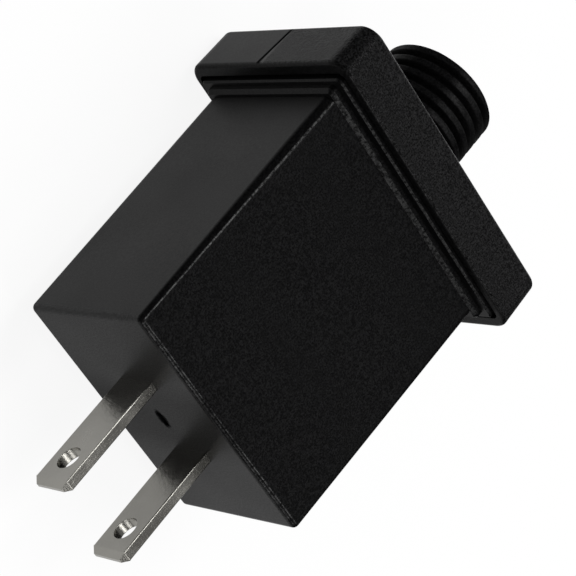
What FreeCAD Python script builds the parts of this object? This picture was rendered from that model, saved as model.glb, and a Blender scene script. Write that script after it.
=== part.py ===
import FreeCAD, Part
import math
import os
import re
import Sketcher

# Plug-in power transformer: a drafted plastic cup with two flat blades in its front face, closed at
# the back by a skirted cap that carries a threaded outlet barrel. Inside lie the circuit board, the
# ferrite transformer and the parts around it.
# Frame: the origin is the centre of the prong face, +X runs to the threaded outlet, the blades point
# to -X and stand side by side along Y, and +Z is the grained broad face. Millimetres and degrees.

SIZES = {
    # Housing cup, measured at the prong face, which is its small end
    "body_width": 36.9,
    "body_height": 23.1,
    "body_length": 46.4,
    "body_draft": 0.83,
    "body_edge": 0.8,
    "body_wall": 1.8,
    "front_wall": 2.0,
    # Shallow oval recess in the middle of the prong face
    "recess_width": 2.4,
    "recess_height": 0.9,
    "recess_corner": 0.4,
    "recess_depth": 0.5,
    # Two low steps that run round the cup ahead of the cap
    "first_rise_side": 0.9,
    "first_rise_face": 0.55,
    "first_edge": 0.5,
    "second_rise_side": 0.73,
    "second_rise_face": 1.26,
    "second_edge": 0.25,
    "step_length": 1.15,
    "step_show": 0.55,
    # End cap: a skirt that overhangs the cup, a web, and a spigot inside the mouth
    "skirt_depth": 5.5,
    "skirt_gap_side": 0.53,
    "skirt_gap_face": 0.38,
    "skirt_wall_side": 1.8,
    "skirt_wall_face": 1.17,
    "skirt_corner": 1.0,
    "cap_web": 2.0,
    "cap_corner": 2.7,
    "cap_draft": 0.8,
    "cap_rim_round": 0.6,
    "cap_edge": 0.6,
    "spigot_length": 3.0,
    "spigot_wall": 1.2,
    "spigot_clearance": 0.1,
    # Outlet barrel with its outside thread
    "barrel_length": 14.2,
    "barrel_chamfer": 0.25,
    "thread_major": 17.0,
    "thread_pitch": 2.0,
    "thread_depth": 1.0,
    "thread_crest": 0.95,
    "thread_root": 0.4,
    "thread_relief": 1.75,
    "socket_bore": 11.6,
    # Socket insert, pushed in from inside the cap, and its two contacts
    "insert_hole": 10.0,
    "insert_reach": 4.6,
    "insert_clearance": 0.05,
    "insert_flange": 1.2,
    "insert_flange_step": 1.2,
    "contact_spacing": 4.8,
    "contact_outer": 2.4,
    "contact_bore": 1.6,
    "contact_depth": 5.0,
    "contact_tail": 1.3,
    # Blades: parallel flat blades of the two-pole 12.7 mm pattern
    "blade_spacing": 12.7,
    "blade_width": 6.35,
    "blade_thickness": 1.5,
    "blade_length": 17.5,
    "blade_lift": 0.7,
    "blade_tip": 0.9,
    "blade_tip_draft": 30.0,
    "blade_edge": 0.15,
    "blade_hole": 3.4,
    "blade_hole_from_face": 13.2,
    "blade_tail_width": 4.0,
    "blade_tail": 1.2,
    # Carrier block that holds the blades behind the front wall
    "carrier_depth": 3.0,
    "carrier_margin": 2.9,
    "carrier_height": 7.6,
    "carrier_edge": 0.5,
    # Circuit board on its rails
    "board_thickness": 1.6,
    "board_height": -6.8,
    "board_clearance": 0.15,
    "rail_width": 1.4,
    "rail_thickness": 1.0,
    "hole_clearance": 0.1,
    "pin_radius": 0.3,
    "pin_below": 0.8,
    "part_gap": 0.5,
    "rail_gap": 0.25,
    # Insulated leads
    "lead_radius": 0.5,
    "lead_bend": 1.2,
    "lead_straight": 0.5,
    # Ferrite core pair, bobbin and windings
    "core_width": 13.0,
    "core_half": 6.0,
    "core_depth": 6.1,
    "core_window": 10.2,
    "core_window_depth": 4.6,
    "core_leg": 2.75,
    "bobbin_clearance": 0.12,
    "bobbin_tube": 0.6,
    "bobbin_flange": 0.9,
    "bobbin_rim": 0.25,
    "bobbin_pin_spacing": 6.0,
    "winding_gap": 0.05,
    "primary_build": 1.2,
    "secondary_build": 0.9,
    "tape_build": 0.2,
    # Electrolytic capacitors
    "input_cap_diameter": 8.0,
    "input_cap_height": 12.5,
    "output_cap_diameter": 6.3,
    "output_cap_height": 11.0,
    "cap_pin_pitch": 3.0,
    "cap_crimp": 0.35,
    "cap_crimp_height": 1.6,
    # Fusible resistor
    "fuse_diameter": 3.4,
    "fuse_body": 7.0,
    "fuse_span": 10.0,
    "fuse_bevel": 0.4,
    "fuse_lift": 0.6,
    # Safety capacitor disc
    "disc_diameter": 7.4,
    "disc_thickness": 3.2,
    "disc_lift": 1.2,
    "disc_pitch": 4.6,
    "disc_bevel": 0.7,
    # Surface packages: bridge rectifier, switching controller and output diode
    "rectifier_length": 4.8,
    "rectifier_width": 4.0,
    "rectifier_height": 2.4,
    "rectifier_pitch": 2.54,
    "controller_length": 5.0,
    "controller_width": 3.9,
    "controller_height": 1.5,
    "controller_pitch": 1.27,
    "diode_length": 2.7,
    "diode_width": 4.3,
    "diode_height": 2.1,
    "package_lift": 0.1,
    "foot_reach": 1.05,
    "foot_land": 0.6,
    "foot_width": 0.4,
    "foot_thickness": 0.2,
}

# Places and sizes that follow from the driving ones, written as expressions over their names
SLOPE = "tan(body_draft * 1deg)"
RIM = "(body_length - skirt_depth)"
STEP_TWO = f"({RIM} - step_show)"
STEP_ONE = f"({STEP_TWO} - step_length)"
SPIGOT_END = "(body_length - spigot_length)"
WEB_OUT = "(body_length + cap_web)"
BARREL_END = f"({WEB_OUT} + barrel_length)"
SOCKET_FLOOR = "(body_length + insert_reach)"
INSERT_REAR = "(body_length - insert_flange)"
CONTACT_END = f"({INSERT_REAR} - contact_tail)"
BLADE_TAIL_END = "(front_wall + carrier_depth + blade_tail)"
BOARD_TOP = "(board_height + board_thickness)"
BOARD_END = f"({SPIGOT_END} - board_clearance)"
LEAD_IN_X = f"({BLADE_TAIL_END} + lead_straight + lead_bend)"
LEAD_OUT_X = f"({CONTACT_END} - lead_straight - lead_bend)"
RAIL_INSIDE = f"(body_width / 2 + {SLOPE} * front_wall - body_wall - rail_width)"
PART_SIDE = f"({RAIL_INSIDE} - rail_gap)"
FRONT_ROW = f"({LEAD_IN_X} + lead_radius + 2 * part_gap)"
FUSE_X = f"({FRONT_ROW} + fuse_diameter / 2)"
FUSE_Y = f"(fuse_span / 2 + pin_radius - {PART_SIDE})"
INPUT_CAP_X = f"({FRONT_ROW} + input_cap_diameter / 2)"
INPUT_CAP_Y = f"({PART_SIDE} - input_cap_diameter / 2)"
PACKAGE_X = f"({FRONT_ROW} + fuse_diameter + part_gap + controller_length / 2)"
CONTROLLER_Y = f"(controller_width / 2 + foot_reach - {PART_SIDE})"
RECTIFIER_LOW = f"({CONTROLLER_Y} + controller_width / 2 + foot_reach)"
RECTIFIER_Y = f"(({PART_SIDE} - input_cap_diameter + {RECTIFIER_LOW}) / 2)"
FRONT_GROUP_END = f"({PACKAGE_X} + controller_length / 2)"
ROW_GAP = f"(({BOARD_END} - {FRONT_GROUP_END} - 2 * core_half - diode_length) / 3)"
CORE_X = f"({FRONT_GROUP_END} + {ROW_GAP} + core_half)"
CORE_Y = "((disc_thickness - output_cap_diameter) / 2)"
DISC_Y = f"(disc_thickness / 2 - {PART_SIDE})"
OUTPUT_CAP_Y = f"({PART_SIDE} - output_cap_diameter / 2)"
DIODE_X = f"({CORE_X} + core_half + {ROW_GAP} + diode_length / 2)"
DIODE_Y = f"(({CORE_Y} - core_width / 2 + {DISC_Y}) / 2)"
TUBE_Y = "(core_leg / 2 + bobbin_clearance + bobbin_tube)"
TUBE_Z = "(core_depth / 2 + bobbin_clearance + bobbin_tube)"
PRIMARY = "(winding_gap + primary_build)"
SECONDARY = f"({PRIMARY} + winding_gap + secondary_build)"
TAPE = f"({SECONDARY} + winding_gap + tape_build)"
BOBBIN_HALF = "(core_window_depth - bobbin_clearance)"
FLANGE_Y = f"({TUBE_Y} + {TAPE} + bobbin_rim)"
FLANGE_Z = f"({TUBE_Z} + {TAPE} + bobbin_rim)"
PIN_DOWN = "(board_thickness + pin_below)"


def body_half(size, station):
    """Half the cup's outside width or height at a station along X."""
    return f"({size} / 2 + {SLOPE} * {station})"


def cavity_half(size, station):
    """Half the cavity's width or height at a station along X."""
    return f"({body_half(size, station)} - body_wall)"


def rim_half(size, side):
    """Half the cap's outside size at its rim: cup, two steps, shadow gap and skirt wall."""
    steps = f"first_rise_{side} + second_rise_{side}"
    return f"({body_half(size, RIM)} + {steps} + skirt_gap_{side} + skirt_wall_{side})"


doc = FreeCAD.newDocument("plug_in_transformer")
sheet = doc.addObject("Spreadsheet::Sheet", "Sizes")
for row, (alias, number) in enumerate(SIZES.items(), start=1):
    sheet.set(f"A{row}", alias)
    sheet.set(f"B{row}", str(number))
    sheet.setAlias(f"B{row}", alias)
doc.recompute()


def bound(text):
    """The expression text with each driving size written as its cell in the sheet."""
    return re.sub(r"[a-z][a-z_]+", lambda word: "Sizes." + word[0] if word[0] in SIZES else word[0], text)


def value(text):
    """What an expression comes to now, as a plain number."""
    result = sheet.evalExpression(bound(text))
    return float(getattr(result, "Value", result))


def new_body(label):
    """An empty body whose label names the sub-part."""
    body = doc.addObject("PartDesign::Body", label)
    body.Label = label
    return body


def place(body, x="0", y="0", z="0"):
    """Put a body at a place bound to the sheet."""
    for axis, text in zip("xyz", (x, y, z)):
        body.setExpression(f"Placement.Base.{axis}", bound(text))


def origin_feature(body, role):
    return next(item for item in body.Origin.OriginFeatures if item.Role == role)


def sketch_on(body, name, role, offset="0"):
    """A sketch on one of the body's own planes, moved along the plane's normal."""
    sketch = body.newObject("Sketcher::SketchObject", f"{body.Name}_{name}")
    sketch.AttachmentSupport = [(origin_feature(body, role), "")]
    sketch.MapMode = "FlatFace"
    sketch.setExpression("AttachmentOffset.Base.z", bound(offset))
    return sketch


def constrain(sketch, kind, references, text):
    """A dimension whose value stays bound to its expression."""
    index = sketch.addConstraint(Sketcher.Constraint(kind, *references, value(text)))
    sketch.setExpression(f"Constraints[{index}]", bound(text))


def pin_point(sketch, geometry, vertex, x, y):
    """Hold one point of a sketch at bound distances from the sketch's origin."""
    constrain(sketch, "DistanceX", (-1, 1, geometry, vertex), x)
    constrain(sketch, "DistanceY", (-1, 1, geometry, vertex), y)


def polygon(sketch, corners):
    """A closed outline of straight sides with every corner bound."""
    points = [FreeCAD.Vector(value(x), value(y), 0) for x, y in corners]
    first = sketch.GeometryCount
    count = len(points)
    for i in range(count):
        sketch.addGeometry(Part.LineSegment(points[i], points[(i + 1) % count]), False)
    for i in range(count):
        following = first + (i + 1) % count
        sketch.addConstraint(Sketcher.Constraint("Coincident", first + i, 2, following, 1))
    for i, (x, y) in enumerate(corners):
        pin_point(sketch, first + i, 1, x, y)


def polyline(sketch, corners):
    """An open line of straight runs with every corner bound."""
    points = [FreeCAD.Vector(value(x), value(y), 0) for x, y in corners]
    runs = len(points) - 1
    for start, end in zip(points, points[1:]):
        sketch.addGeometry(Part.LineSegment(start, end), False)
    for i in range(runs - 1):
        sketch.addConstraint(Sketcher.Constraint("Coincident", i, 2, i + 1, 1))
    for i, (x, y) in enumerate(corners[:-1]):
        pin_point(sketch, i, 1, x, y)
    pin_point(sketch, runs - 1, 2, *corners[-1])


def rectangle(sketch, left, bottom, right, top):
    polygon(sketch, [(left, bottom), (right, bottom), (right, top), (left, top)])


def centred_rectangle(sketch, half_x, half_y):
    rectangle(sketch, f"-{half_x}", f"-{half_y}", half_x, half_y)


def rounded_rectangle(sketch, half_x, half_y, radius):
    """A centred rectangle with equal corner arcs, tangent to its sides."""
    x, y, r = value(half_x), value(half_y), value(radius)
    quarter_turn = math.pi / 2
    signs = [(1, 1), (-1, 1), (-1, -1), (1, -1)]
    first = sketch.GeometryCount
    for i, (sx, sy) in enumerate(signs):
        centre = FreeCAD.Vector(sx * (x - r), sy * (y - r), 0)
        circle_line = Part.Circle(centre, FreeCAD.Vector(0, 0, 1), r)
        arc = Part.ArcOfCircle(circle_line, i * quarter_turn, (i + 1) * quarter_turn)
        sketch.addGeometry(arc, False)
    for i in range(4):
        start = sketch.getPoint(first + i, 2)
        end = sketch.getPoint(first + (i + 1) % 4, 1)
        sketch.addGeometry(Part.LineSegment(start, end), False)
    for i in range(4):
        side = first + 4 + i
        sketch.addConstraint(Sketcher.Constraint("Tangent", first + i, 2, side, 1))
        sketch.addConstraint(Sketcher.Constraint("Tangent", side, 2, first + (i + 1) % 4, 1))
    for i, (sx, sy) in enumerate(signs):
        across = f"{sx} * ({half_x} - {radius})"
        upward = f"{sy} * ({half_y} - {radius})"
        pin_point(sketch, first + i, 3, across, upward)
        constrain(sketch, "Radius", (first + i,), radius)


def circle(sketch, x, y, radius):
    centre = FreeCAD.Vector(value(x), value(y), 0)
    index = sketch.addGeometry(Part.Circle(centre, FreeCAD.Vector(0, 0, 1), value(radius)), False)
    pin_point(sketch, index, 3, x, y)
    constrain(sketch, "Radius", (index,), radius)


def finish_feature(feature, sketch, length, backward, both_ways, taper):
    feature.Profile = sketch
    feature.Reversed = backward
    feature.setExpression("Length", bound(length))
    if both_ways:
        feature.SideType = "Symmetric"
    if taper:
        feature.setExpression("TaperAngle", bound(taper))
    doc.recompute()
    return feature


def pad(body, sketch, length, backward=False, both_ways=False, taper=None):
    feature = body.newObject("PartDesign::Pad", f"{sketch.Name}_pad")
    return finish_feature(feature, sketch, length, backward, both_ways, taper)


def pocket(body, sketch, length, backward=False, both_ways=False, taper=None):
    """A cut from the sketch, with a test that it does take material away."""
    before = body.Shape.Volume
    feature = body.newObject("PartDesign::Pocket", f"{sketch.Name}_pocket")
    finish_feature(feature, sketch, length, backward, both_ways, taper)
    if body.Shape.Volume >= before:
        raise RuntimeError(f"{feature.Name} cuts nothing")
    return feature


def sweep(body, section, path):
    """A wire: the section carried along the path, with mitred bends."""
    wire = body.newObject("PartDesign::AdditivePipe", f"{section.Name}_wire")
    wire.Profile = section
    wire.Spine = (path, [])
    wire.Transition = "Right corner"
    doc.recompute()
    return wire


def edge_names(feature, wanted):
    """Names of the feature's edges for which wanted(edge) holds."""
    return [f"Edge{n}" for n, edge in enumerate(feature.Shape.Edges, start=1) if wanted(edge)]


def round_edges(body, feature, radius, wanted):
    fillet = body.newObject("PartDesign::Fillet", f"{feature.Name}_round")
    fillet.Base = (feature, edge_names(feature, wanted))
    fillet.setExpression("Radius", bound(radius))
    doc.recompute()
    return fillet


def bevel_edges(body, feature, size, wanted):
    chamfer = body.newObject("PartDesign::Chamfer", f"{feature.Name}_bevel")
    chamfer.Base = (feature, edge_names(feature, wanted))
    chamfer.setExpression("Size", bound(size))
    doc.recompute()
    return chamfer


def lies_at(edge, axis, station):
    """True where the whole edge lies on one plane across X, Y or Z."""
    box = edge.BoundBox
    low, high = {"x": (box.XMin, box.XMax), "y": (box.YMin, box.YMax), "z": (box.ZMin, box.ZMax)}[axis]
    return abs(low - station) < 0.01 and abs(high - station) < 0.01


# Housing cup

def bevel_step(body, collar, size, station, half_y, half_z, corner):
    """Break the outer edge of a step, all the way round."""
    def outer_edge(edge):
        if not lies_at(edge, "x", station):
            return False
        middle = edge.valueAt((edge.FirstParameter + edge.LastParameter) / 2)
        past_y = abs(middle.y) - (half_y - corner)
        past_z = abs(middle.z) - (half_z - corner)
        if past_y > 0.01 and past_z > 0.01:
            return abs((past_y**2 + past_z**2) ** 0.5 - corner) < 0.01
        return abs(max(past_y, past_z) - corner) < 0.01

    bevel_edges(body, collar, size, outer_edge)


def make_housing():
    body = new_body("housing_body")
    outside = sketch_on(body, "outside", "YZ_Plane")
    rounded_rectangle(outside, "(body_width / 2)", "(body_height / 2)", "body_edge")
    shell = pad(body, outside, "body_length", taper="body_draft")
    round_edges(body, shell, "body_edge", lambda edge: lies_at(edge, "x", 0))

    rise_y = "first_rise_side"
    rise_z = "first_rise_face"
    for name, station, bevel in (("step_one", STEP_ONE, "first_edge"), ("step_two", STEP_TWO, "second_edge")):
        ring = sketch_on(body, name, "YZ_Plane", station)
        half_y = f"({body_half('body_width', station)} + {rise_y})"
        half_z = f"({body_half('body_height', station)} + {rise_z})"
        rounded_rectangle(ring, half_y, half_z, "body_edge")
        collar = pad(body, ring, f"(body_length - {station})", taper="body_draft")
        bevel_step(body, collar, bevel, value(station), value(half_y), value(half_z), value("body_edge"))
        rise_y = "first_rise_side + second_rise_side"
        rise_z = "first_rise_face + second_rise_face"

    inside = sketch_on(body, "cavity", "YZ_Plane", "front_wall")
    cavity_y = cavity_half("body_width", "front_wall")
    cavity_z = cavity_half("body_height", "front_wall")
    centred_rectangle(inside, cavity_y, cavity_z)
    pocket(body, inside, "(body_length - front_wall)", backward=True, taper="body_draft")

    slots = sketch_on(body, "blade_slots", "YZ_Plane")
    for side in (1, -1):
        middle = f"({side} * blade_spacing / 2)"
        rectangle(slots, f"({middle} - blade_thickness / 2)", "(blade_lift - blade_width / 2)",
                  f"({middle} + blade_thickness / 2)", "(blade_lift + blade_width / 2)")
    pocket(body, slots, "front_wall", backward=True)

    recess = sketch_on(body, "recess", "YZ_Plane")
    rounded_rectangle(recess, "(recess_width / 2)", "(recess_height / 2)", "recess_corner")
    pocket(body, recess, "recess_depth", backward=True)

    rails = sketch_on(body, "board_rails", "YZ_Plane", "front_wall")
    inner = f"({cavity_y} - rail_width)"
    buried = "(body_width / 2 - body_wall / 2)"
    lower = ("(board_height - rail_thickness)", "board_height")
    upper = (f"({BOARD_TOP} + board_clearance)", f"({BOARD_TOP} + board_clearance + rail_thickness)")
    for low, high in (lower, upper):
        rectangle(rails, inner, low, buried, high)
        rectangle(rails, f"-{buried}", low, f"-{inner}", high)
    pad(body, rails, f"({BOARD_END} - front_wall)")
    return body


# End cap with its skirt, spigot and threaded barrel, moulded in one piece

def make_end_cap():
    body = new_body("end_cap")
    half_y = rim_half("body_width", "side")
    half_z = rim_half("body_height", "face")
    outside = sketch_on(body, "outside", "YZ_Plane", RIM)
    rounded_rectangle(outside, half_y, half_z, "cap_corner")
    block = pad(body, outside, "(skirt_depth + cap_web)", taper="-cap_draft")
    rim = value(RIM)
    back = value(WEB_OUT)
    rounded = round_edges(body, block, "cap_rim_round", lambda edge: lies_at(edge, "x", rim))
    round_edges(body, rounded, "cap_edge", lambda edge: lies_at(edge, "x", back))

    skirt = sketch_on(body, "skirt", "YZ_Plane", RIM)
    rounded_rectangle(skirt, f"({half_y} - skirt_wall_side)", f"({half_z} - skirt_wall_face)", "skirt_corner")
    pocket(body, skirt, "skirt_depth", backward=True)

    spigot = sketch_on(body, "spigot", "YZ_Plane", SPIGOT_END)
    spigot_y = f"({cavity_half('body_width', SPIGOT_END)} - spigot_clearance)"
    spigot_z = f"({cavity_half('body_height', SPIGOT_END)} - spigot_clearance)"
    centred_rectangle(spigot, spigot_y, spigot_z)
    centred_rectangle(spigot, f"({spigot_y} - spigot_wall)", f"({spigot_z} - spigot_wall)")
    pad(body, spigot, "spigot_length")

    barrel = sketch_on(body, "barrel", "XY_Plane")
    polygon(barrel, [
        ("body_length", "0"),
        (BARREL_END, "0"),
        (BARREL_END, "(thread_major / 2 - barrel_chamfer)"),
        (f"({BARREL_END} - barrel_chamfer)", "(thread_major / 2)"),
        ("body_length", "(thread_major / 2)"),
    ])
    turned = body.newObject("PartDesign::Revolution", "end_cap_barrel_turned")
    turned.Profile = barrel
    turned.ReferenceAxis = (barrel, ["H_Axis"])
    doc.recompute()

    cut_thread(body)

    bores = sketch_on(body, "bores", "XY_Plane")
    polygon(bores, [
        ("body_length", "0"),
        (BARREL_END, "0"),
        (BARREL_END, "(socket_bore / 2)"),
        (SOCKET_FLOOR, "(socket_bore / 2)"),
        (SOCKET_FLOOR, "(insert_hole / 2)"),
        ("body_length", "(insert_hole / 2)"),
    ])
    before = body.Shape.Volume
    groove = body.newObject("PartDesign::Groove", "end_cap_bores_cut")
    groove.Profile = bores
    groove.ReferenceAxis = (bores, ["H_Axis"])
    doc.recompute()
    if body.Shape.Volume >= before:
        raise RuntimeError("the bores cut nothing")
    return body


def cut_thread(body):
    """The outside thread: one trapezoid space swept along a helix, from its relief past the end."""
    space = sketch_on(body, "thread_space", "XY_Plane")
    start = f"({WEB_OUT} + thread_relief)"
    outer = "(thread_major / 2 + thread_depth / 4)"
    root = "(thread_major / 2 - thread_depth)"
    flank = "((thread_pitch - thread_crest - thread_root) / 2)"
    spread = f"({flank} / 4)"
    polygon(space, [
        (f"({start} - {spread})", outer),
        (f"({start} + {flank})", root),
        (f"({start} + {flank} + thread_root)", root),
        (f"({start} + 2 * {flank} + thread_root + {spread})", outer),
    ])
    before = body.Shape.Volume
    thread = body.newObject("PartDesign::SubtractiveHelix", "end_cap_thread")
    thread.Profile = space
    thread.ReferenceAxis = (space, ["H_Axis"])
    thread.Mode = "pitch-height-angle"
    thread.setExpression("Pitch", bound("thread_pitch"))
    thread.setExpression("Height", bound("(barrel_length - thread_relief)"))
    doc.recompute()
    if body.Shape.Volume >= before:
        raise RuntimeError("the thread cuts nothing")


# Contact blades and the block that carries them

def make_blade(label, side):
    """A flat blade with rounded long edges, a tip that narrows on all four sides, and a solder tail."""
    body = new_body(label)
    outline = sketch_on(body, "outline", "XZ_Plane")
    shoulder = "(blade_tip - blade_length)"
    half = "(blade_width / 2)"
    root = "(front_wall + carrier_depth)"
    polygon(outline, [
        (shoulder, half),
        (root, half),
        (root, "blade_tail_width / 2"),
        (BLADE_TAIL_END, "blade_tail_width / 2"),
        (BLADE_TAIL_END, "-blade_tail_width / 2"),
        (root, "-blade_tail_width / 2"),
        (root, f"-{half}"),
        (shoulder, f"-{half}"),
    ])
    strip = pad(body, outline, "blade_thickness", both_ways=True)
    face = value("blade_thickness / 2")

    def long_edge(edge):
        on_broad_face = lies_at(edge, "y", face) or lies_at(edge, "y", -face)
        return on_broad_face and edge.BoundBox.XLength > value("blade_length / 2")

    round_edges(body, strip, "blade_edge", long_edge)
    tip = sketch_on(body, "tip", "YZ_Plane", shoulder)
    centred_rectangle(tip, "(blade_thickness / 2)", half)
    pad(body, tip, "blade_tip", backward=True, taper="-blade_tip_draft")

    hole = sketch_on(body, "hole", "XZ_Plane")
    circle(hole, "-blade_hole_from_face", "0", "blade_hole / 2")
    pocket(body, hole, "(2 * blade_thickness)", both_ways=True)
    place(body, y=f"({side} * blade_spacing / 2)", z="blade_lift")
    return body


def make_blade_carrier():
    body = new_body("blade_carrier")
    block = sketch_on(body, "block", "YZ_Plane")
    half_y = "(blade_spacing / 2 + blade_thickness / 2 + carrier_margin)"
    rounded_rectangle(block, half_y, "(carrier_height / 2)", "carrier_edge")
    for side in (1, -1):
        middle = f"({side} * blade_spacing / 2)"
        rectangle(block, f"({middle} - blade_thickness / 2)", "(-blade_width / 2)",
                  f"({middle} + blade_thickness / 2)", "(blade_width / 2)")
    pad(body, block, "carrier_depth")
    place(body, x="front_wall", z="blade_lift")
    return body


# Circuit board with a hole for every lead and pin

def pin_places():
    """X, Y and radius of every wire or pin that passes through the board."""
    places = []
    for side in (1, -1):
        places.append((LEAD_IN_X, f"({side} * blade_spacing / 2)", "lead_radius"))
        places.append((LEAD_OUT_X, f"({side} * contact_spacing / 2)", "lead_radius"))
        places.append((INPUT_CAP_X, f"({INPUT_CAP_Y} + {side} * cap_pin_pitch / 2)", "pin_radius"))
        places.append((CORE_X, f"({OUTPUT_CAP_Y} + {side} * cap_pin_pitch / 2)", "pin_radius"))
        places.append((FUSE_X, f"({FUSE_Y} + {side} * fuse_span / 2)", "pin_radius"))
        places.append((f"({CORE_X} + {side} * disc_pitch / 2)", DISC_Y, "pin_radius"))
        pin_row = f"({CORE_X} + {side} * ({BOBBIN_HALF} - bobbin_flange / 2))"
        for step in (-1, 1):
            pin_y = f"({CORE_Y} + {step} * bobbin_pin_spacing / 2)"
            places.append((pin_row, pin_y, "pin_radius"))
    return places


def make_circuit_board():
    body = new_body("circuit_board")
    outline = sketch_on(body, "outline", "XY_Plane")
    half_y = f"({cavity_half('body_width', 'front_wall')} - board_clearance)"
    rectangle(outline, "(front_wall + board_clearance)", f"-{half_y}", BOARD_END, half_y)
    pad(body, outline, "board_thickness")
    holes = sketch_on(body, "holes", "XY_Plane")
    for x, y, radius in pin_places():
        circle(holes, x, y, f"({radius} + hole_clearance)")
    pocket(body, holes, "board_thickness", backward=True)
    place(body, z="board_height")
    return body


# Leads between the blades, the board and the outlet contacts

def make_lead(label, start_x, direction, y, z):
    """A wire that leaves a tail along X and turns down through the board in two short bends."""
    body = new_body(label)
    path = sketch_on(body, "path", "XZ_Plane")
    bend_x = f"({direction} * lead_straight)"
    down_x = f"({direction} * (lead_straight + lead_bend))"
    bottom = f"(board_height - pin_below - {z})"
    corners = [("0", "0"), (bend_x, "0"), (down_x, "-lead_bend"), (down_x, bottom)]
    polyline(path, corners)
    section = sketch_on(body, "section", "YZ_Plane")
    circle(section, "0", "0", "lead_radius")
    sweep(body, section, path)
    place(body, x=start_x, y=y, z=z)
    return body


# Ferrite core, bobbin and windings

def make_core_half(label, facing):
    body = new_body(label)
    outline = sketch_on(body, "outline", "XY_Plane")
    back = "(core_half - core_window_depth)"
    half, window, leg = "core_width / 2", "core_window / 2", "core_leg / 2"
    polygon(outline, [
        ("0", f"-{half}"), ("core_half", f"-{half}"), ("core_half", f"-{window}"),
        (back, f"-{window}"), (back, f"-{leg}"), ("core_half", f"-{leg}"),
        ("core_half", leg), (back, leg), (back, window),
        ("core_half", window), ("core_half", half), ("0", half),
    ])
    pad(body, outline, "core_depth", both_ways=True)
    turn = 0 if facing > 0 else 180
    body.Placement.Rotation = FreeCAD.Rotation(FreeCAD.Vector(0, 0, 1), turn)
    place(body, x=f"({CORE_X} - {facing} * core_half)", y=CORE_Y, z=f"({BOARD_TOP} + {FLANGE_Z})")
    return body


def make_bobbin():
    body = new_body("bobbin")
    tube = sketch_on(body, "tube", "YZ_Plane")
    centred_rectangle(tube, TUBE_Y, TUBE_Z)
    pad(body, tube, f"(2 * {BOBBIN_HALF})", both_ways=True)
    for name, station, backward in (("front", f"-{BOBBIN_HALF}", False), ("rear", BOBBIN_HALF, True)):
        flange = sketch_on(body, f"{name}_flange", "YZ_Plane", station)
        centred_rectangle(flange, FLANGE_Y, FLANGE_Z)
        pad(body, flange, "bobbin_flange", backward=backward)
    pins = sketch_on(body, "pins", "XY_Plane", f"-{FLANGE_Z}")
    for side in (1, -1):
        for step in (-1, 1):
            row_x = f"({side} * ({BOBBIN_HALF} - bobbin_flange / 2))"
            circle(pins, row_x, f"({step} * bobbin_pin_spacing / 2)", "pin_radius")
    pad(body, pins, PIN_DOWN, backward=True)
    leg_hole = sketch_on(body, "leg_hole", "YZ_Plane")
    centred_rectangle(leg_hole, "(core_leg / 2 + bobbin_clearance)", "(core_depth / 2 + bobbin_clearance)")
    pocket(body, leg_hole, "(4 * core_half)", both_ways=True)
    place(body, x=CORE_X, y=CORE_Y, z=f"({BOARD_TOP} + {FLANGE_Z})")
    return body


def make_winding(label, inner, outer):
    """A closed band round the bobbin tube, from one build to the next."""
    body = new_body(label)
    band = sketch_on(body, "band", "YZ_Plane")
    rounded_rectangle(band, f"({TUBE_Y} + {outer})", f"({TUBE_Z} + {outer})", outer)
    rounded_rectangle(band, f"({TUBE_Y} + {inner})", f"({TUBE_Z} + {inner})", inner)
    pad(body, band, f"(2 * ({BOBBIN_HALF} - bobbin_flange - winding_gap))", both_ways=True)
    place(body, x=CORE_X, y=CORE_Y, z=f"({BOARD_TOP} + {FLANGE_Z})")
    return body


# Components on the board

def make_electrolytic(label, diameter, height, x, y):
    """A can with a crimped foot, on two pins."""
    body = new_body(label)
    can = sketch_on(body, "can", "XZ_Plane")
    radius = f"({diameter} / 2)"
    waist = f"({radius} - cap_crimp)"
    polygon(can, [
        ("0", "0"), (radius, "0"), (radius, "(cap_crimp_height - cap_crimp)"),
        (waist, "cap_crimp_height"), (radius, "(cap_crimp_height + cap_crimp)"),
        (radius, height), ("0", height),
    ])
    turned = body.newObject("PartDesign::Revolution", f"{label}_turned")
    turned.Profile = can
    turned.ReferenceAxis = (can, ["V_Axis"])
    pins = sketch_on(body, "pins", "XY_Plane")
    for side in (1, -1):
        circle(pins, "0", f"({side} * cap_pin_pitch / 2)", "pin_radius")
    pad(body, pins, PIN_DOWN, backward=True)
    place(body, x=x, y=y, z=BOARD_TOP)
    return body


def make_fuse_resistor():
    """A round body on one bent wire, lying just above the board and across it."""
    body = new_body("fuse_resistor")
    height = "(fuse_diameter / 2 + fuse_lift)"
    barrel = sketch_on(body, "barrel", "XZ_Plane")
    circle(barrel, "0", height, "(fuse_diameter / 2)")
    drum = pad(body, barrel, "fuse_body", both_ways=True)
    end = value("fuse_body / 2")
    bevel_edges(body, drum, "fuse_bevel", lambda edge: lies_at(edge, "y", end) or lies_at(edge, "y", -end))
    near, far = "(-fuse_span / 2)", "(fuse_span / 2)"
    path = sketch_on(body, "path", "YZ_Plane")
    polyline(path, [(near, f"-{PIN_DOWN}"), (near, height), (far, height), (far, f"-{PIN_DOWN}")])
    section = sketch_on(body, "section", "XY_Plane", f"-{PIN_DOWN}")
    circle(section, "0", near, "pin_radius")
    sweep(body, section, path)
    place(body, x=FUSE_X, y=FUSE_Y, z=BOARD_TOP)
    return body


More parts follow.
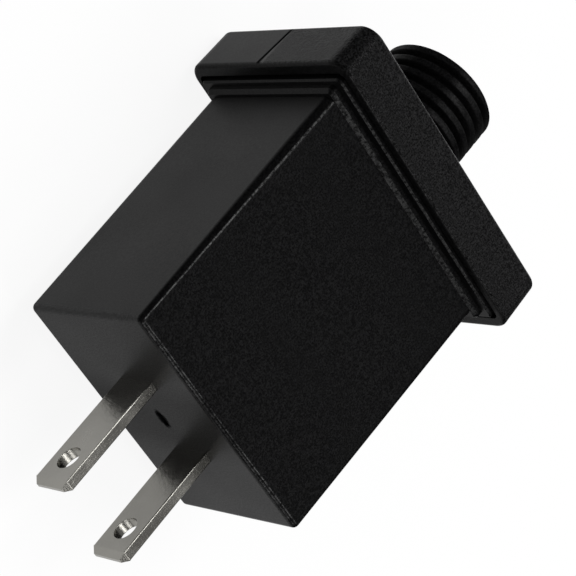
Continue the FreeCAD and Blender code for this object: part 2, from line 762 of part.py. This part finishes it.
def make_safety_capacitor():
    body = new_body("safety_capacitor")
    height = "(disc_lift + disc_diameter / 2)"
    disc = sketch_on(body, "disc", "XZ_Plane")
    circle(disc, "0", height, "(disc_diameter / 2)")
    coin = pad(body, disc, "disc_thickness", both_ways=True)
    face = value("disc_thickness / 2")
    bevel_edges(body, coin, "disc_bevel", lambda edge: lies_at(edge, "y", face) or lies_at(edge, "y", -face))
    pins = sketch_on(body, "pins", "XY_Plane", height)
    for side in (1, -1):
        circle(pins, f"({side} * disc_pitch / 2)", "0", "pin_radius")
    pad(body, pins, f"({height} + {PIN_DOWN})", backward=True)
    place(body, x=CORE_X, y=DISC_Y, z=BOARD_TOP)
    return body


def make_package(label, length, width, height, pitch, count, x, y):
    """A moulded package with gull-wing feet along its two long sides."""
    body = new_body(label)
    block = sketch_on(body, "block", "XY_Plane", "package_lift")
    centred_rectangle(block, f"({length} / 2)", f"({width} / 2)")
    pad(body, block, height)
    first = f"(-{pitch} * {count - 1} / 2)"
    feet = sketch_on(body, "feet", "YZ_Plane", first)
    inner = f"({width} / 2 - foot_thickness)"
    shoulder = f"({width} / 2 + foot_reach - foot_land)"
    toe = f"({width} / 2 + foot_reach)"
    level = f"({height} / 2)"
    for side in (1, -1):
        polygon(feet, [
            (f"({side} * {inner})", f"({level} + foot_thickness)"),
            (f"({side} * ({shoulder} + foot_thickness))", f"({level} + foot_thickness)"),
            (f"({side} * ({shoulder} + foot_thickness))", "foot_thickness"),
            (f"({side} * {toe})", "foot_thickness"),
            (f"({side} * {toe})", "0"),
            (f"({side} * {shoulder})", "0"),
            (f"({side} * {shoulder})", level),
            (f"({side} * {inner})", level),
        ])
    foot = pad(body, feet, "foot_width", both_ways=True)
    if count > 1:
        row = body.newObject("PartDesign::LinearPattern", f"{label}_row")
        row.Originals = [foot]
        row.Direction = (origin_feature(body, "X_Axis"), [""])
        row.setExpression("Length", bound(f"({pitch} * {count - 1})"))
        row.Occurrences = count
        body.Tip = row
        doc.recompute()
    place(body, x=x, y=y, z=BOARD_TOP)
    return body


# Outlet socket

def make_socket_insert():
    body = new_body("socket_insert")
    profile = sketch_on(body, "profile", "XY_Plane")
    plug = "(insert_hole / 2 - insert_clearance)"
    flange = "(insert_hole / 2 + insert_flange_step)"
    polygon(profile, [
        (INSERT_REAR, "0"), (SOCKET_FLOOR, "0"), (SOCKET_FLOOR, plug),
        ("body_length", plug), ("body_length", flange), (INSERT_REAR, flange),
    ])
    turned = body.newObject("PartDesign::Revolution", "socket_insert_turned")
    turned.Profile = profile
    turned.ReferenceAxis = (profile, ["H_Axis"])
    doc.recompute()
    holes = sketch_on(body, "contact_holes", "YZ_Plane", INSERT_REAR)
    for side in (1, -1):
        circle(holes, f"({side} * contact_spacing / 2)", "0", "(contact_outer / 2 + insert_clearance)")
    pocket(body, holes, f"({SOCKET_FLOOR} - {INSERT_REAR})", backward=True)
    return body


def make_contact(label, side):
    body = new_body(label)
    profile = sketch_on(body, "profile", "XY_Plane")
    length = f"({SOCKET_FLOOR} - {CONTACT_END})"
    wall = "(contact_outer / 2)"
    hole = "(contact_bore / 2)"
    floor = f"({length} - contact_depth)"
    polygon(profile, [("0", "0"), (floor, "0"), (floor, hole), (length, hole), (length, wall), ("0", wall)])
    turned = body.newObject("PartDesign::Revolution", f"{label}_turned")
    turned.Profile = profile
    turned.ReferenceAxis = (profile, ["H_Axis"])
    doc.recompute()
    place(body, x=CONTACT_END, y=f"({side} * contact_spacing / 2)")
    return body


sub_parts = [make_housing(), make_end_cap(), make_blade_carrier(), make_circuit_board()]
for name, side in (("line", 1), ("neutral", -1)):
    sub_parts.append(make_blade(f"{name}_blade", side))
    blade_y = f"({side} * blade_spacing / 2)"
    sub_parts.append(make_lead(f"{name}_lead", BLADE_TAIL_END, 1, blade_y, "blade_lift"))
for name, side in (("positive", 1), ("negative", -1)):
    sub_parts.append(make_contact(f"{name}_contact", side))
    contact_y = f"({side} * contact_spacing / 2)"
    sub_parts.append(make_lead(f"{name}_lead", CONTACT_END, -1, contact_y, "0"))
sub_parts += [
    make_socket_insert(),
    make_core_half("front_core_half", 1),
    make_core_half("rear_core_half", -1),
    make_bobbin(),
    make_winding("primary_winding", "winding_gap", PRIMARY),
    make_winding("secondary_winding", f"({PRIMARY} + winding_gap)", SECONDARY),
    make_winding("winding_tape", f"({SECONDARY} + winding_gap)", TAPE),
    make_electrolytic("input_capacitor", "input_cap_diameter", "input_cap_height", INPUT_CAP_X, INPUT_CAP_Y),
    make_electrolytic("output_capacitor", "output_cap_diameter", "output_cap_height", CORE_X, OUTPUT_CAP_Y),
    make_fuse_resistor(),
    make_safety_capacitor(),
    make_package("bridge_rectifier", "rectifier_length", "rectifier_width", "rectifier_height",
                 "rectifier_pitch", 2, PACKAGE_X, RECTIFIER_Y),
    make_package("switching_controller", "controller_length", "controller_width", "controller_height",
                 "controller_pitch", 4, PACKAGE_X, CONTROLLER_Y),
    make_package("output_diode", "diode_length", "diode_width", "diode_height", "0", 1, DIODE_X, DIODE_Y),
]
doc.recompute()

for item in doc.Objects:
    if "Invalid" in item.State or "Error" in item.State:
        raise RuntimeError(f"{item.Label} failed: {item.State}")
for part in sub_parts:
    if part.Shape.isNull() or not part.Shape.isValid() or len(part.Shape.Solids) != 1:
        raise RuntimeError(f"{part.Label} is not one sound solid")

os.makedirs("parts", exist_ok=True)
for part in sub_parts:
    part.Shape.exportStep(f"parts/{part.Label}.step")
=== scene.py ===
import bpy
from mathutils import Matrix, Vector


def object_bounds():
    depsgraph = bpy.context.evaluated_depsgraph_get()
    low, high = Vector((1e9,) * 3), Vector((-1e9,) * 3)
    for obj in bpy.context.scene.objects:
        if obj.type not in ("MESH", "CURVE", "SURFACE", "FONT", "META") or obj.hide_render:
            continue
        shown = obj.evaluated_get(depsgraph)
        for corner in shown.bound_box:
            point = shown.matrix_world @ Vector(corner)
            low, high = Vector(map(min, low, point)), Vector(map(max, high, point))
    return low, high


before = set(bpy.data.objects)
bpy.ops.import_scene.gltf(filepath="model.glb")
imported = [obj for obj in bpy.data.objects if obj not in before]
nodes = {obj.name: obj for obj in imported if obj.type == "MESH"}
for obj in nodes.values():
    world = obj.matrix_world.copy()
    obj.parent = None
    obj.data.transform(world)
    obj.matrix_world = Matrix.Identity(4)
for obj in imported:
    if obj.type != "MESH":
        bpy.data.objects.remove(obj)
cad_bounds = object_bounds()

low, high = cad_bounds


# Node helpers

def new_material(name):
    """A node material with its tree and its surface shader."""
    material = bpy.data.materials.new(name)
    material.use_nodes = True
    tree = material.node_tree
    return material, tree, tree.nodes["Principled BSDF"]


def object_coordinates(tree):
    return tree.nodes.new("ShaderNodeTexCoord").outputs["Object"]


def axes_of(tree, vector):
    """The X, Y and Z parts of a vector."""
    split = tree.nodes.new("ShaderNodeSeparateXYZ")
    tree.links.new(vector, split.inputs[0])
    return split.outputs["X"], split.outputs["Y"], split.outputs["Z"]


def noise(tree, coordinates, scale, detail=3.0, roughness=0.5):
    node = tree.nodes.new("ShaderNodeTexNoise")
    node.inputs["Scale"].default_value = scale
    node.inputs["Detail"].default_value = detail
    node.inputs["Roughness"].default_value = roughness
    tree.links.new(coordinates, node.inputs["Vector"])
    return node.outputs["Fac"]


def calculate(tree, operation, first, second=0.0):
    """One step of arithmetic on two numbers or sockets."""
    node = tree.nodes.new("ShaderNodeMath")
    node.operation = operation
    for socket, item in zip(node.inputs, (first, second)):
        if isinstance(item, (int, float)):
            socket.default_value = item
        else:
            tree.links.new(item, socket)
    return node.outputs[0]


def added(tree, first, second):
    return calculate(tree, "ADD", first, second)


def subtracted(tree, first, second):
    return calculate(tree, "SUBTRACT", first, second)


def scaled(tree, value, factor):
    return calculate(tree, "MULTIPLY", value, factor)


def largest(tree, first, second):
    return calculate(tree, "MAXIMUM", first, second)


def without_sign(tree, value):
    return calculate(tree, "ABSOLUTE", value)


def remap(tree, value, from_low, from_high, to_low, to_high):
    """A value's range laid over another range, and held at its two ends."""
    node = tree.nodes.new("ShaderNodeMapRange")
    numbers = {"From Min": from_low, "From Max": from_high, "To Min": to_low, "To Max": to_high}
    for name, number in numbers.items():
        node.inputs[name].default_value = number
    tree.links.new(value, node.inputs["Value"])
    return node.outputs["Result"]


def rising(tree, value, start, end):
    """A mask that is 0 up to the start and 1 from the end on."""
    return remap(tree, value, start, end, 0.0, 1.0)


def falling(tree, value, start, end):
    """A mask that is 1 up to the start and 0 from the end on."""
    return remap(tree, value, start, end, 1.0, 0.0)


def faded(tree, value, mask, outside, inside):
    """A value times one factor outside a mask and another inside it."""
    return scaled(tree, value, remap(tree, mask, 0.0, 1.0, outside, inside))


def changed(tree, value, mask, share):
    """A value raised inside a mask by a share of itself, or lowered where the share is negative."""
    return scaled(tree, value, added(tree, 1.0, scaled(tree, mask, share)))


# Most of a noise lies near the middle of 0 to 1, and a narrower range of it gives a harder contrast
soft_contrast = (0.30, 0.70)
firm_contrast = (0.35, 0.65)
hard_contrast = (0.38, 0.62)
speck_contrast = (0.40, 0.64)


def spread(tree, pattern, lowest, highest, contrast=soft_contrast):
    """A noise laid over a range of values."""
    return remap(tree, pattern, *contrast, lowest, highest)


def blend_colours(tree, factor, first, second):
    node = tree.nodes.new("ShaderNodeMix")
    node.data_type = "RGBA"
    tree.links.new(factor, node.inputs["Factor"])
    node.inputs["A"].default_value = (*first, 1.0)
    node.inputs["B"].default_value = (*second, 1.0)
    return node.outputs["Result"]


def blend_vectors(tree, factor, first, second):
    node = tree.nodes.new("ShaderNodeMix")
    node.data_type = "VECTOR"
    factor_socket, first_socket, second_socket = node.inputs[0], node.inputs[4], node.inputs[5]
    tree.links.new(factor, factor_socket)
    tree.links.new(first, first_socket)
    tree.links.new(second, second_socket)
    return node.outputs[1]


def bump(tree, height, distance, strength=1.0, after=None):
    """The surface's direction over small heights, on top of an earlier change where there is one."""
    node = tree.nodes.new("ShaderNodeBump")
    node.inputs["Distance"].default_value = distance
    node.inputs["Strength"].default_value = strength
    tree.links.new(height, node.inputs["Height"])
    if after is not None:
        tree.links.new(after, node.inputs["Normal"])
    return node.outputs["Normal"]


def softened_edges(tree, radius):
    """The surface's direction with every sharp edge rounded off a little."""
    node = tree.nodes.new("ShaderNodeBevel")
    node.samples = 6
    node.inputs["Radius"].default_value = radius
    return node.outputs["Normal"]


def grey(level):
    return level, level, level


# The black mouldings: fine grain on the broad faces, smoother and glossier narrow sides

# Places and sizes are in metres. How squarely a surface looks along an axis goes from 0 to 1.
plastic_black = (0.0022, 0.0022, 0.0023)
plastic_refraction = 1.49
narrow_side_gloss = 0.104
barrel_start = 0.0484
barrel_rim = (0.0612, 0.0622)
prong_face_skin = (0.0008, 0.0010)


def facing_masks(tree, turned):
    """Where the surface is a broad face and where it is a rounded edge."""
    nearly_square, broad_square, flat_square = 0.965, 0.992, 0.997
    squarest = largest(tree, largest(tree, turned[0], turned[1]), turned[2])
    broad = rising(tree, turned[2], nearly_square, broad_square)
    rounded = falling(tree, squarest, nearly_square, flat_square)
    return broad, rounded


def shaded_long_edges(tree, gloss, signed, turned):
    """Painted shade: darkens the rounding between a narrow side and a broad face, and more of it on the -Y
    side, by taking away almost all its gloss.
    """
    either_side = rising(tree, turned[1], 0.35, 0.50)
    minus_y_side = falling(tree, signed[1], -0.30, -0.04)
    corner = scaled(tree, largest(tree, either_side, minus_y_side), rising(tree, turned[2], 0.04, 0.42))
    # Painted shade: almost no gloss left on the long edges' roundings
    return faded(tree, gloss, corner, outside=1.0, inside=0.02)


def edge_highlights(tree, gloss, rounded, turned, along, grain):
    """Painted highlight: uneven bright spots on the edges of the broad faces, and edges that shine less
    towards the cap, made by raising and lowering their gloss.
    """
    bright_until, dull_from = 0.015, 0.036
    # Painted highlight: the edges' gloss raised in uneven spots, and lowered towards the cap
    beads = scaled(tree, rounded, rising(tree, turned[2], 0.4, 0.6))
    gloss = changed(tree, gloss, beads, spread(tree, grain, -0.85, 0.70, hard_contrast))
    return changed(tree, gloss, rounded, remap(tree, along, bright_until, dull_from, 0.22, -0.22))


def parting_line(tree, along, upward, side_facing):
    """Where the cap's two mould halves meet: a thin leaning line across its narrow sides."""
    side_middle, line_slope, line_height = 0.0409, 0.12, -0.0009
    half_width, blurred_half_width, end_blur = 0.00022, 0.00040, 0.0002
    from_middle = subtracted(tree, along, side_middle)
    line_place = added(tree, scaled(tree, from_middle, line_slope), line_height)
    away = without_sign(tree, subtracted(tree, upward, line_place))
    line = falling(tree, away, half_width, blurred_half_width)
    on_side = rising(tree, side_facing, 0.75, 0.92)
    before_barrel = falling(tree, along, barrel_start - end_blur, barrel_start)
    return scaled(tree, scaled(tree, line, on_side), before_barrel)


def cap_gloss(tree, gloss, turned, front_half, mottle, line):
    """The cap's gloss: none on the parting line, less where it faces along X as painted shade on the
    recessed rim face, pebbled on its front half.
    """
    gloss = changed(tree, gloss, line, -1.0)
    # Painted shade: less gloss where the cap faces along X, darkening the rim face in its recess
    gloss = scaled(tree, gloss, remap(tree, turned[0], 0.5, 1.0, 1.0, 0.45))
    gloss = faded(tree, gloss, front_half, outside=1.20, inside=0.88)
    return changed(tree, gloss, front_half, spread(tree, mottle, -0.5, 0.5))


def barrel_gloss(tree, gloss, place, on_barrel):
    """The barrel's gloss: darker in the thread's valleys as painted shade, streaked, and dull on its end
    rim.
    """
    valley_radius, crest_radius = 0.0079, 0.0084
    along, across, upward = axes_of(tree, place)
    radius_squared = added(tree, scaled(tree, across, across), scaled(tree, upward, upward))
    radius = calculate(tree, "SQRT", radius_squared)
    # Painted shade: less gloss down in the thread's valleys
    valleys = remap(tree, radius, valley_radius, crest_radius, -0.55, 0.0)
    streaks = noise(tree, place, scale=320.0, detail=3.0, roughness=0.6)
    streaks = spread(tree, streaks, -0.35, 0.35, firm_contrast)
    overall = -0.12
    gloss = changed(tree, gloss, on_barrel, added(tree, added(tree, valleys, streaks), overall))
    return scaled(tree, gloss, remap(tree, along, *barrel_rim, 1.0, 0.4))


def oval_mark(tree, across, upward, grain):
    """A ragged oval over the recess in the prong face and a narrow border round it."""
    half_width, half_height = 0.0017, 0.0009
    far_y = calculate(tree, "POWER", scaled(tree, across, 1.0 / half_width), 2.0)
    far_z = calculate(tree, "POWER", scaled(tree, upward, 1.0 / half_height), 2.0)
    ragged = spread(tree, grain, -0.35, 0.35)
    return falling(tree, added(tree, added(tree, far_y, far_z), ragged), 0.8, 1.2)


def prong_face_gloss(tree, gloss, place, grain, mottle):
    """The prong face's gloss: a dull oval mark, painted shade between the blades as a zone of lower gloss,
    and fine pebbles.
    """
    zone_half_width, past_blades_middle = 0.0035, 0.0075
    along, across, upward = axes_of(tree, place)
    on_prong_face = falling(tree, along, *prong_face_skin)
    mark = scaled(tree, oval_mark(tree, across, upward, grain), on_prong_face)
    gloss = faded(tree, gloss, mark, outside=1.0, inside=0.04)
    # Painted shade: lower gloss between the blades, where their shadow falls on the face and in its
    # reflection
    shade_between_blades = falling(tree, without_sign(tree, across), zone_half_width, past_blades_middle)
    shade_between_blades = scaled(tree, shade_between_blades, on_prong_face)
    gloss = faded(tree, gloss, shade_between_blades, outside=1.04, inside=0.62)
    return changed(tree, gloss, on_prong_face, spread(tree, mottle, -0.22, 0.30))


def black_moulding(name, grain_depth, broad_gloss, speck_colour, is_cap):
    """Black plastic with grained broad faces, glossier narrow sides, and edges with painted highlights and
    painted shade.
    """
    material, tree, shader = new_material(name)
    place = object_coordinates(tree)
    facing = tree.nodes.new("ShaderNodeNewGeometry").outputs["Normal"]
    signed = axes_of(tree, facing)
    turned = [without_sign(tree, part) for part in signed]
    along, _, upward = axes_of(tree, place)
    broad, rounded = facing_masks(tree, turned)
    grained = broad
    if is_cap:
        front_blur, barrel_blur = 0.0003, 0.0004
        on_wall = falling(tree, turned[0], 0.3, 0.6)
        front_half = scaled(tree, rising(tree, upward, -front_blur, front_blur), on_wall)
        on_barrel = rising(tree, along, barrel_start, barrel_start + barrel_blur)
        off_barrel = subtracted(tree, 1.0, on_barrel)
        facing = blend_vectors(tree, on_barrel, facing, softened_edges(tree, radius=0.00042))
        broad = scaled(tree, broad, off_barrel)
        rounded = scaled(tree, rounded, off_barrel)
        grained = scaled(tree, largest(tree, broad, front_half), off_barrel)

    coarse = noise(tree, place, scale=2400.0, detail=3.0, roughness=0.6)
    fine = noise(tree, place, scale=6500.0, detail=2.0)
    drift = noise(tree, place, scale=90.0, detail=2.0)
    mottle = noise(tree, place, scale=4000.0, detail=2.0, roughness=0.7)
    patches = noise(tree, place, scale=1300.0, detail=2.0)

    grain = added(tree, scaled(tree, coarse, 0.6), scaled(tree, fine, 0.4))
    height = faded(tree, grain, grained, outside=0.06, inside=1.0)

    specks = faded(tree, rising(tree, mottle, *speck_contrast), grained, outside=0.4, inside=1.0)
    specks = scaled(tree, specks, spread(tree, patches, 0.70, 1.30, firm_contrast))
    colour = blend_colours(tree, specks, plastic_black, speck_colour)

    gloss = remap(tree, broad, 0.0, 1.0, narrow_side_gloss, broad_gloss)
    gloss = scaled(tree, gloss, spread(tree, mottle, 0.85, 1.15))
    # Painted shade on the roundings between the narrow sides and the broad faces
    gloss = shaded_long_edges(tree, gloss, signed, turned)
    # Painted highlight spots on the edges of the broad faces
    gloss = edge_highlights(tree, gloss, rounded, turned, along, coarse)

    rough = added(tree, spread(tree, drift, 0.38, 0.44), scaled(tree, broad, 0.14))
    rough = added(tree, rough, scaled(tree, rounded, -0.16))
    if is_cap:
        line = parting_line(tree, along, upward, turned[1])
        gloss = cap_gloss(tree, gloss, turned, front_half, mottle, line)
        gloss = barrel_gloss(tree, gloss, place, on_barrel)
        rough = added(tree, rough, scaled(tree, on_barrel, 0.12))
    else:
        gloss = prong_face_gloss(tree, gloss, place, coarse, mottle)
    rough = added(tree, rough, scaled(tree, spread(tree, mottle, -0.07, 0.07), grained))

    tree.links.new(bump(tree, height, grain_depth, after=facing), shader.inputs["Normal"])
    tree.links.new(colour, shader.inputs["Base Color"])
    tree.links.new(gloss, shader.inputs["Specular IOR Level"])
    tree.links.new(rough, shader.inputs["Roughness"])
    shader.inputs["IOR"].default_value = plastic_refraction
    return material


# Nickel on the blades: a drawn grain along the blade, small pits and soft stains

def plated_blade(name):
    material, tree, shader = new_material(name)
    place = object_coordinates(tree)
    stretch = tree.nodes.new("ShaderNodeMapping")
    stretch.inputs["Scale"].default_value = (0.06, 1.0, 1.0)
    tree.links.new(place, stretch.inputs["Vector"])
    drawn = noise(tree, stretch.outputs["Vector"], scale=5200.0, detail=4.0, roughness=0.6)
    stain = noise(tree, place, scale=240.0, detail=4.0, roughness=0.6)
    pits = noise(tree, place, scale=2600.0, detail=3.0, roughness=0.7)
    stained, clean = (0.215, 0.208, 0.190), (0.298, 0.291, 0.268)
    tree.links.new(blend_colours(tree, stain, stained, clean), shader.inputs["Base Color"])
    tree.links.new(spread(tree, stain, 0.16, 0.28), shader.inputs["Roughness"])
    shader.inputs["Metallic"].default_value = 1.0
    edges = softened_edges(tree, radius=0.00012)
    streaks = bump(tree, drawn, distance=0.00003, strength=0.6, after=edges)
    pitted = bump(tree, pits, distance=0.00005, strength=0.5, after=streaks)
    tree.links.new(pitted, shader.inputs["Normal"])
    return material


# Everything else: two close colours, a gloss that drifts with them and a fine grain

def simple_surface(name, dark, light, rough, grain_scale, grain_depth, metallic=0.0):
    material, tree, shader = new_material(name)
    place = object_coordinates(tree)
    drift_scale = grain_scale * 0.12
    rough_swing = 0.05
    drift = noise(tree, place, drift_scale)
    tree.links.new(blend_colours(tree, drift, dark, light), shader.inputs["Base Color"])
    roughness = spread(tree, drift, rough - rough_swing, rough + rough_swing)
    tree.links.new(roughness, shader.inputs["Roughness"])
    grain = noise(tree, place, grain_scale)
    tree.links.new(bump(tree, grain, grain_depth), shader.inputs["Normal"])
    shader.inputs["Metallic"].default_value = metallic
    return material


def inside_plastics():
    return {
        "carrier": simple_surface(
            "carrier_moulding", grey(0.03), grey(0.05), rough=0.5, grain_scale=1800.0, grain_depth=0.00004),
        "insert": simple_surface(
            "insert_moulding", (0.012, 0.012, 0.013), (0.022, 0.022, 0.023), rough=0.45,
            grain_scale=1800.0, grain_depth=0.00004),
        "board": simple_surface(
            "board_laminate", (0.22, 0.15, 0.06), (0.36, 0.27, 0.12), rough=0.45,
            grain_scale=2600.0, grain_depth=0.00003),
        "red_jacket": simple_surface(
            "red_jacket", (0.36, 0.02, 0.015), (0.50, 0.04, 0.03), rough=0.38,
            grain_scale=1500.0, grain_depth=0.00003),
        "black_jacket": simple_surface(
            "black_jacket", grey(0.01), grey(0.025), rough=0.38, grain_scale=1500.0, grain_depth=0.00003),
    }


def contacts_and_transformer():
    return {
        "contact": simple_surface(
            "tinned_contact", (0.62, 0.58, 0.48), (0.78, 0.75, 0.68), rough=0.28,
            grain_scale=2400.0, grain_depth=0.00002, metallic=1.0),
        "ferrite": simple_surface(
            "ferrite", (0.045, 0.045, 0.05), (0.085, 0.085, 0.09), rough=0.55,
            grain_scale=2200.0, grain_depth=0.00005),
        "bobbin": simple_surface(
            "bobbin_moulding", grey(0.03), grey(0.06), rough=0.42, grain_scale=1600.0, grain_depth=0.00003),
        "copper": simple_surface(
            "enamelled_copper", (0.42, 0.13, 0.04), (0.62, 0.24, 0.08), rough=0.30,
            grain_scale=1900.0, grain_depth=0.00006, metallic=0.8),
        "tape": simple_surface(
            "film_tape", (0.62, 0.42, 0.04), (0.78, 0.58, 0.08), rough=0.25,
            grain_scale=1300.0, grain_depth=0.00002),
    }


def board_parts():
    return {
        "sleeve": simple_surface(
            "shrunk_sleeve", (0.012, 0.02, 0.06), (0.03, 0.045, 0.10), rough=0.28,
            grain_scale=1200.0, grain_depth=0.00002),
        "resistor": simple_surface(
            "resistor_coat", (0.12, 0.20, 0.13), (0.18, 0.28, 0.19), rough=0.5,
            grain_scale=2000.0, grain_depth=0.00004),
        "epoxy": simple_surface(
            "moulded_epoxy", grey(0.015), grey(0.03), rough=0.5, grain_scale=2600.0, grain_depth=0.00004),
        "disc": simple_surface(
            "dipped_coat", (0.03, 0.12, 0.38), (0.06, 0.18, 0.50), rough=0.28,
            grain_scale=900.0, grain_depth=0.00004),
    }


materials = {
    "housing_body": black_moulding(
        "housing_moulding", grain_depth=0.00022, broad_gloss=0.026,
        speck_colour=(0.0105, 0.0105, 0.0108), is_cap=False),
    "end_cap": black_moulding(
        "cap_moulding", grain_depth=0.00030, broad_gloss=0.066,
        speck_colour=(0.0160, 0.0160, 0.0164), is_cap=True),
    "blade": plated_blade("nickel_plate"),
    **inside_plastics(),
    **contacts_and_transformer(),
    **board_parts(),
}
finishes = {
    "housing_body": "housing_body", "end_cap": "end_cap", "line_blade": "blade", "neutral_blade": "blade",
    "blade_carrier": "carrier", "socket_insert": "insert", "circuit_board": "board",
    "line_lead": "black_jacket", "neutral_lead": "black_jacket",
    "positive_lead": "red_jacket", "negative_lead": "black_jacket",
    "positive_contact": "contact", "negative_contact": "contact",
    "front_core_half": "ferrite", "rear_core_half": "ferrite", "bobbin": "bobbin",
    "primary_winding": "copper", "secondary_winding": "copper", "winding_tape": "tape",
    "input_capacitor": "sleeve", "output_capacitor": "sleeve", "fuse_resistor": "resistor",
    "safety_capacitor": "disc", "bridge_rectifier": "epoxy", "switching_controller": "epoxy",
    "output_diode": "epoxy",
}
for name, finish in finishes.items():
    nodes[name].data.materials.clear()
    nodes[name].data.materials.append(materials[finish])


# Studio: a white floor under the part, an even pale surround and soft lights

def floor_material():
    """White cloth that shows the camera and reflections only a share of its shadow."""
    white_to_camera, white_in_reflections = 0.90, 0.62
    material, tree, shader = new_material("studio_floor")
    shade = noise(tree, object_coordinates(tree), scale=4.0, detail=2.0)
    tree.links.new(blend_colours(tree, shade, grey(0.93), grey(0.95)), shader.inputs["Base Color"])
    shader.inputs["Roughness"].default_value = 0.9
    shader.inputs["Specular IOR Level"].default_value = 0.1
    path = tree.nodes.new("ShaderNodeLightPath")
    seen = largest(tree, path.outputs["Is Camera Ray"], path.outputs["Is Transmission Ray"])
    seen = scaled(tree, seen, white_to_camera)
    reflected = scaled(tree, path.outputs["Is Glossy Ray"], white_in_reflections)
    white = tree.nodes.new("ShaderNodeEmission")
    white.inputs["Strength"].default_value = 1.0
    mix = tree.nodes.new("ShaderNodeMixShader")
    tree.links.new(largest(tree, seen, reflected), mix.inputs["Fac"])
    tree.links.new(shader.outputs["BSDF"], mix.inputs[1])
    tree.links.new(white.outputs["Emission"], mix.inputs[2])
    tree.links.new(mix.outputs["Shader"], tree.nodes["Material Output"].inputs["Surface"])
    return material


bpy.ops.mesh.primitive_plane_add(size=6.0, location=(0.0, 0.0, low.z))
floor = bpy.context.object
floor.name = "studio_floor"
floor.data.materials.append(floor_material())

world = bpy.data.worlds.new("studio")
bpy.context.scene.world = world
world.use_nodes = True
background = world.node_tree.nodes["Background"]
background.inputs["Color"].default_value = (*grey(0.30), 1.0)
background.inputs["Strength"].default_value = 1.0


def soft_light(name, place, side, power):
    """A square lamp that looks at the part's middle."""
    data = bpy.data.lights.new(name, "AREA")
    data.shape = "SQUARE"
    data.size = side
    data.energy = power
    light = bpy.data.objects.new(name, data)
    bpy.context.scene.collection.objects.link(light)
    light.location = place
    middle = (low + high) / 2
    light.rotation_mode = "QUATERNION"
    light.rotation_quaternion = (middle - Vector(place)).to_track_quat("-Z", "Y")


soft_light("overhead", place=(0.40, 0.05, 0.91), side=0.50, power=5.6)
soft_light("edge_light", place=(-0.08, -0.48, 0.86), side=0.34, power=2.2)
soft_light("ledge_light", place=(-0.76, -0.38, 0.47), side=0.34, power=1.6)


# Camera at the photograph's place, fitted to the part's edges

camera_place = Vector((-0.10008, 0.13726, 0.22009))
right = Vector((0.57640, -0.50108, 0.64550)).normalized()
forward = Vector((0.43436, -0.48121, -0.76142)).normalized()
up = right.cross(forward).normalized()
right = forward.cross(up)
camera_data = bpy.data.cameras.new("camera")
camera = bpy.data.objects.new("camera", camera_data)
bpy.context.scene.collection.objects.link(camera)
axes = Matrix((right, up, -forward)).transposed().to_4x4()
axes.translation = camera_place
camera.matrix_world = axes
camera_data.lens = 139.1
camera_data.sensor_width = 36.0
camera_data.clip_start = 0.01
camera_data.clip_end = 10.0
bpy.context.scene.camera = camera
bpy.context.scene.view_settings.view_transform = "Standard"
